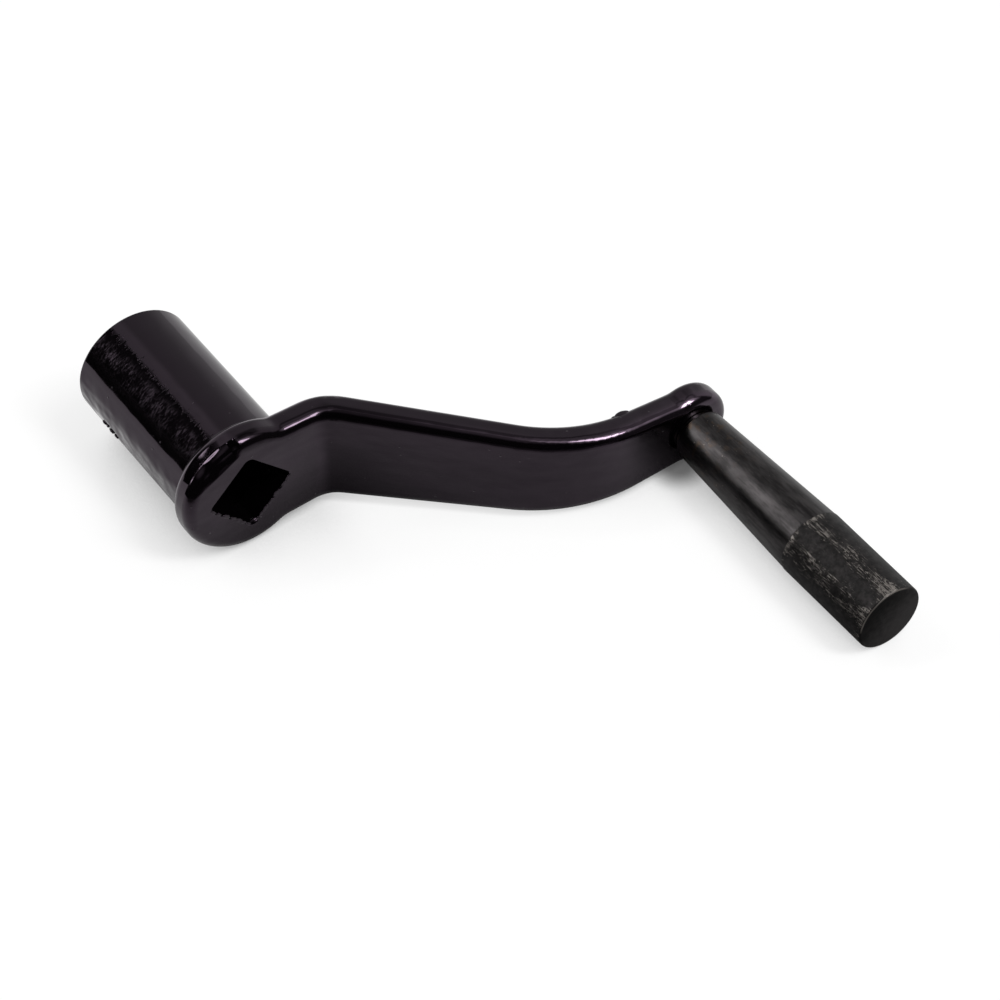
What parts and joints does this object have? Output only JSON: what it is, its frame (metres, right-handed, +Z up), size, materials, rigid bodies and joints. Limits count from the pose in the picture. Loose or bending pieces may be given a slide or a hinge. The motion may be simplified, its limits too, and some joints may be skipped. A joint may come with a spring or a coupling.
{
  "type": "crank handle",
  "caption": "Offset steel hand crank: tubular hub with a square drive hole, bent flat arm and a revolving tapered steel grip.",
  "frame": {"origin": "centre of the square drive hole at the hub's front face", "axes": "+Z up as the crank lies on a flat surface on its hub, grip eye and grip end; +X along the arm from hub to grip; +Y back along the hub tube, within a degree"},
  "size_m": [0.1915, 0.2574, 0.0528],
  "materials": {
    "enamel": "thick glossy black enamel over steel",
    "bare_steel": "unpainted dark steel, turned taper and mill scale, light rust"
  },
  "bodies": {
    "crank": {"crank_arm": "enamel", "hub_tube": "enamel", "hub_weld": "enamel", "grip_washer": "bare_steel"},
    "grip": {"grip_handle": "bare_steel"}
  },
  "joints": [
    {"name": "grip_spin", "type": "hinge", "parent": "crank", "child": "grip", "pos_m": [0.14968, -0.05892, -0.01087], "axis": [0, -0.9998, -0.0176], "continuous": true}
  ]
}
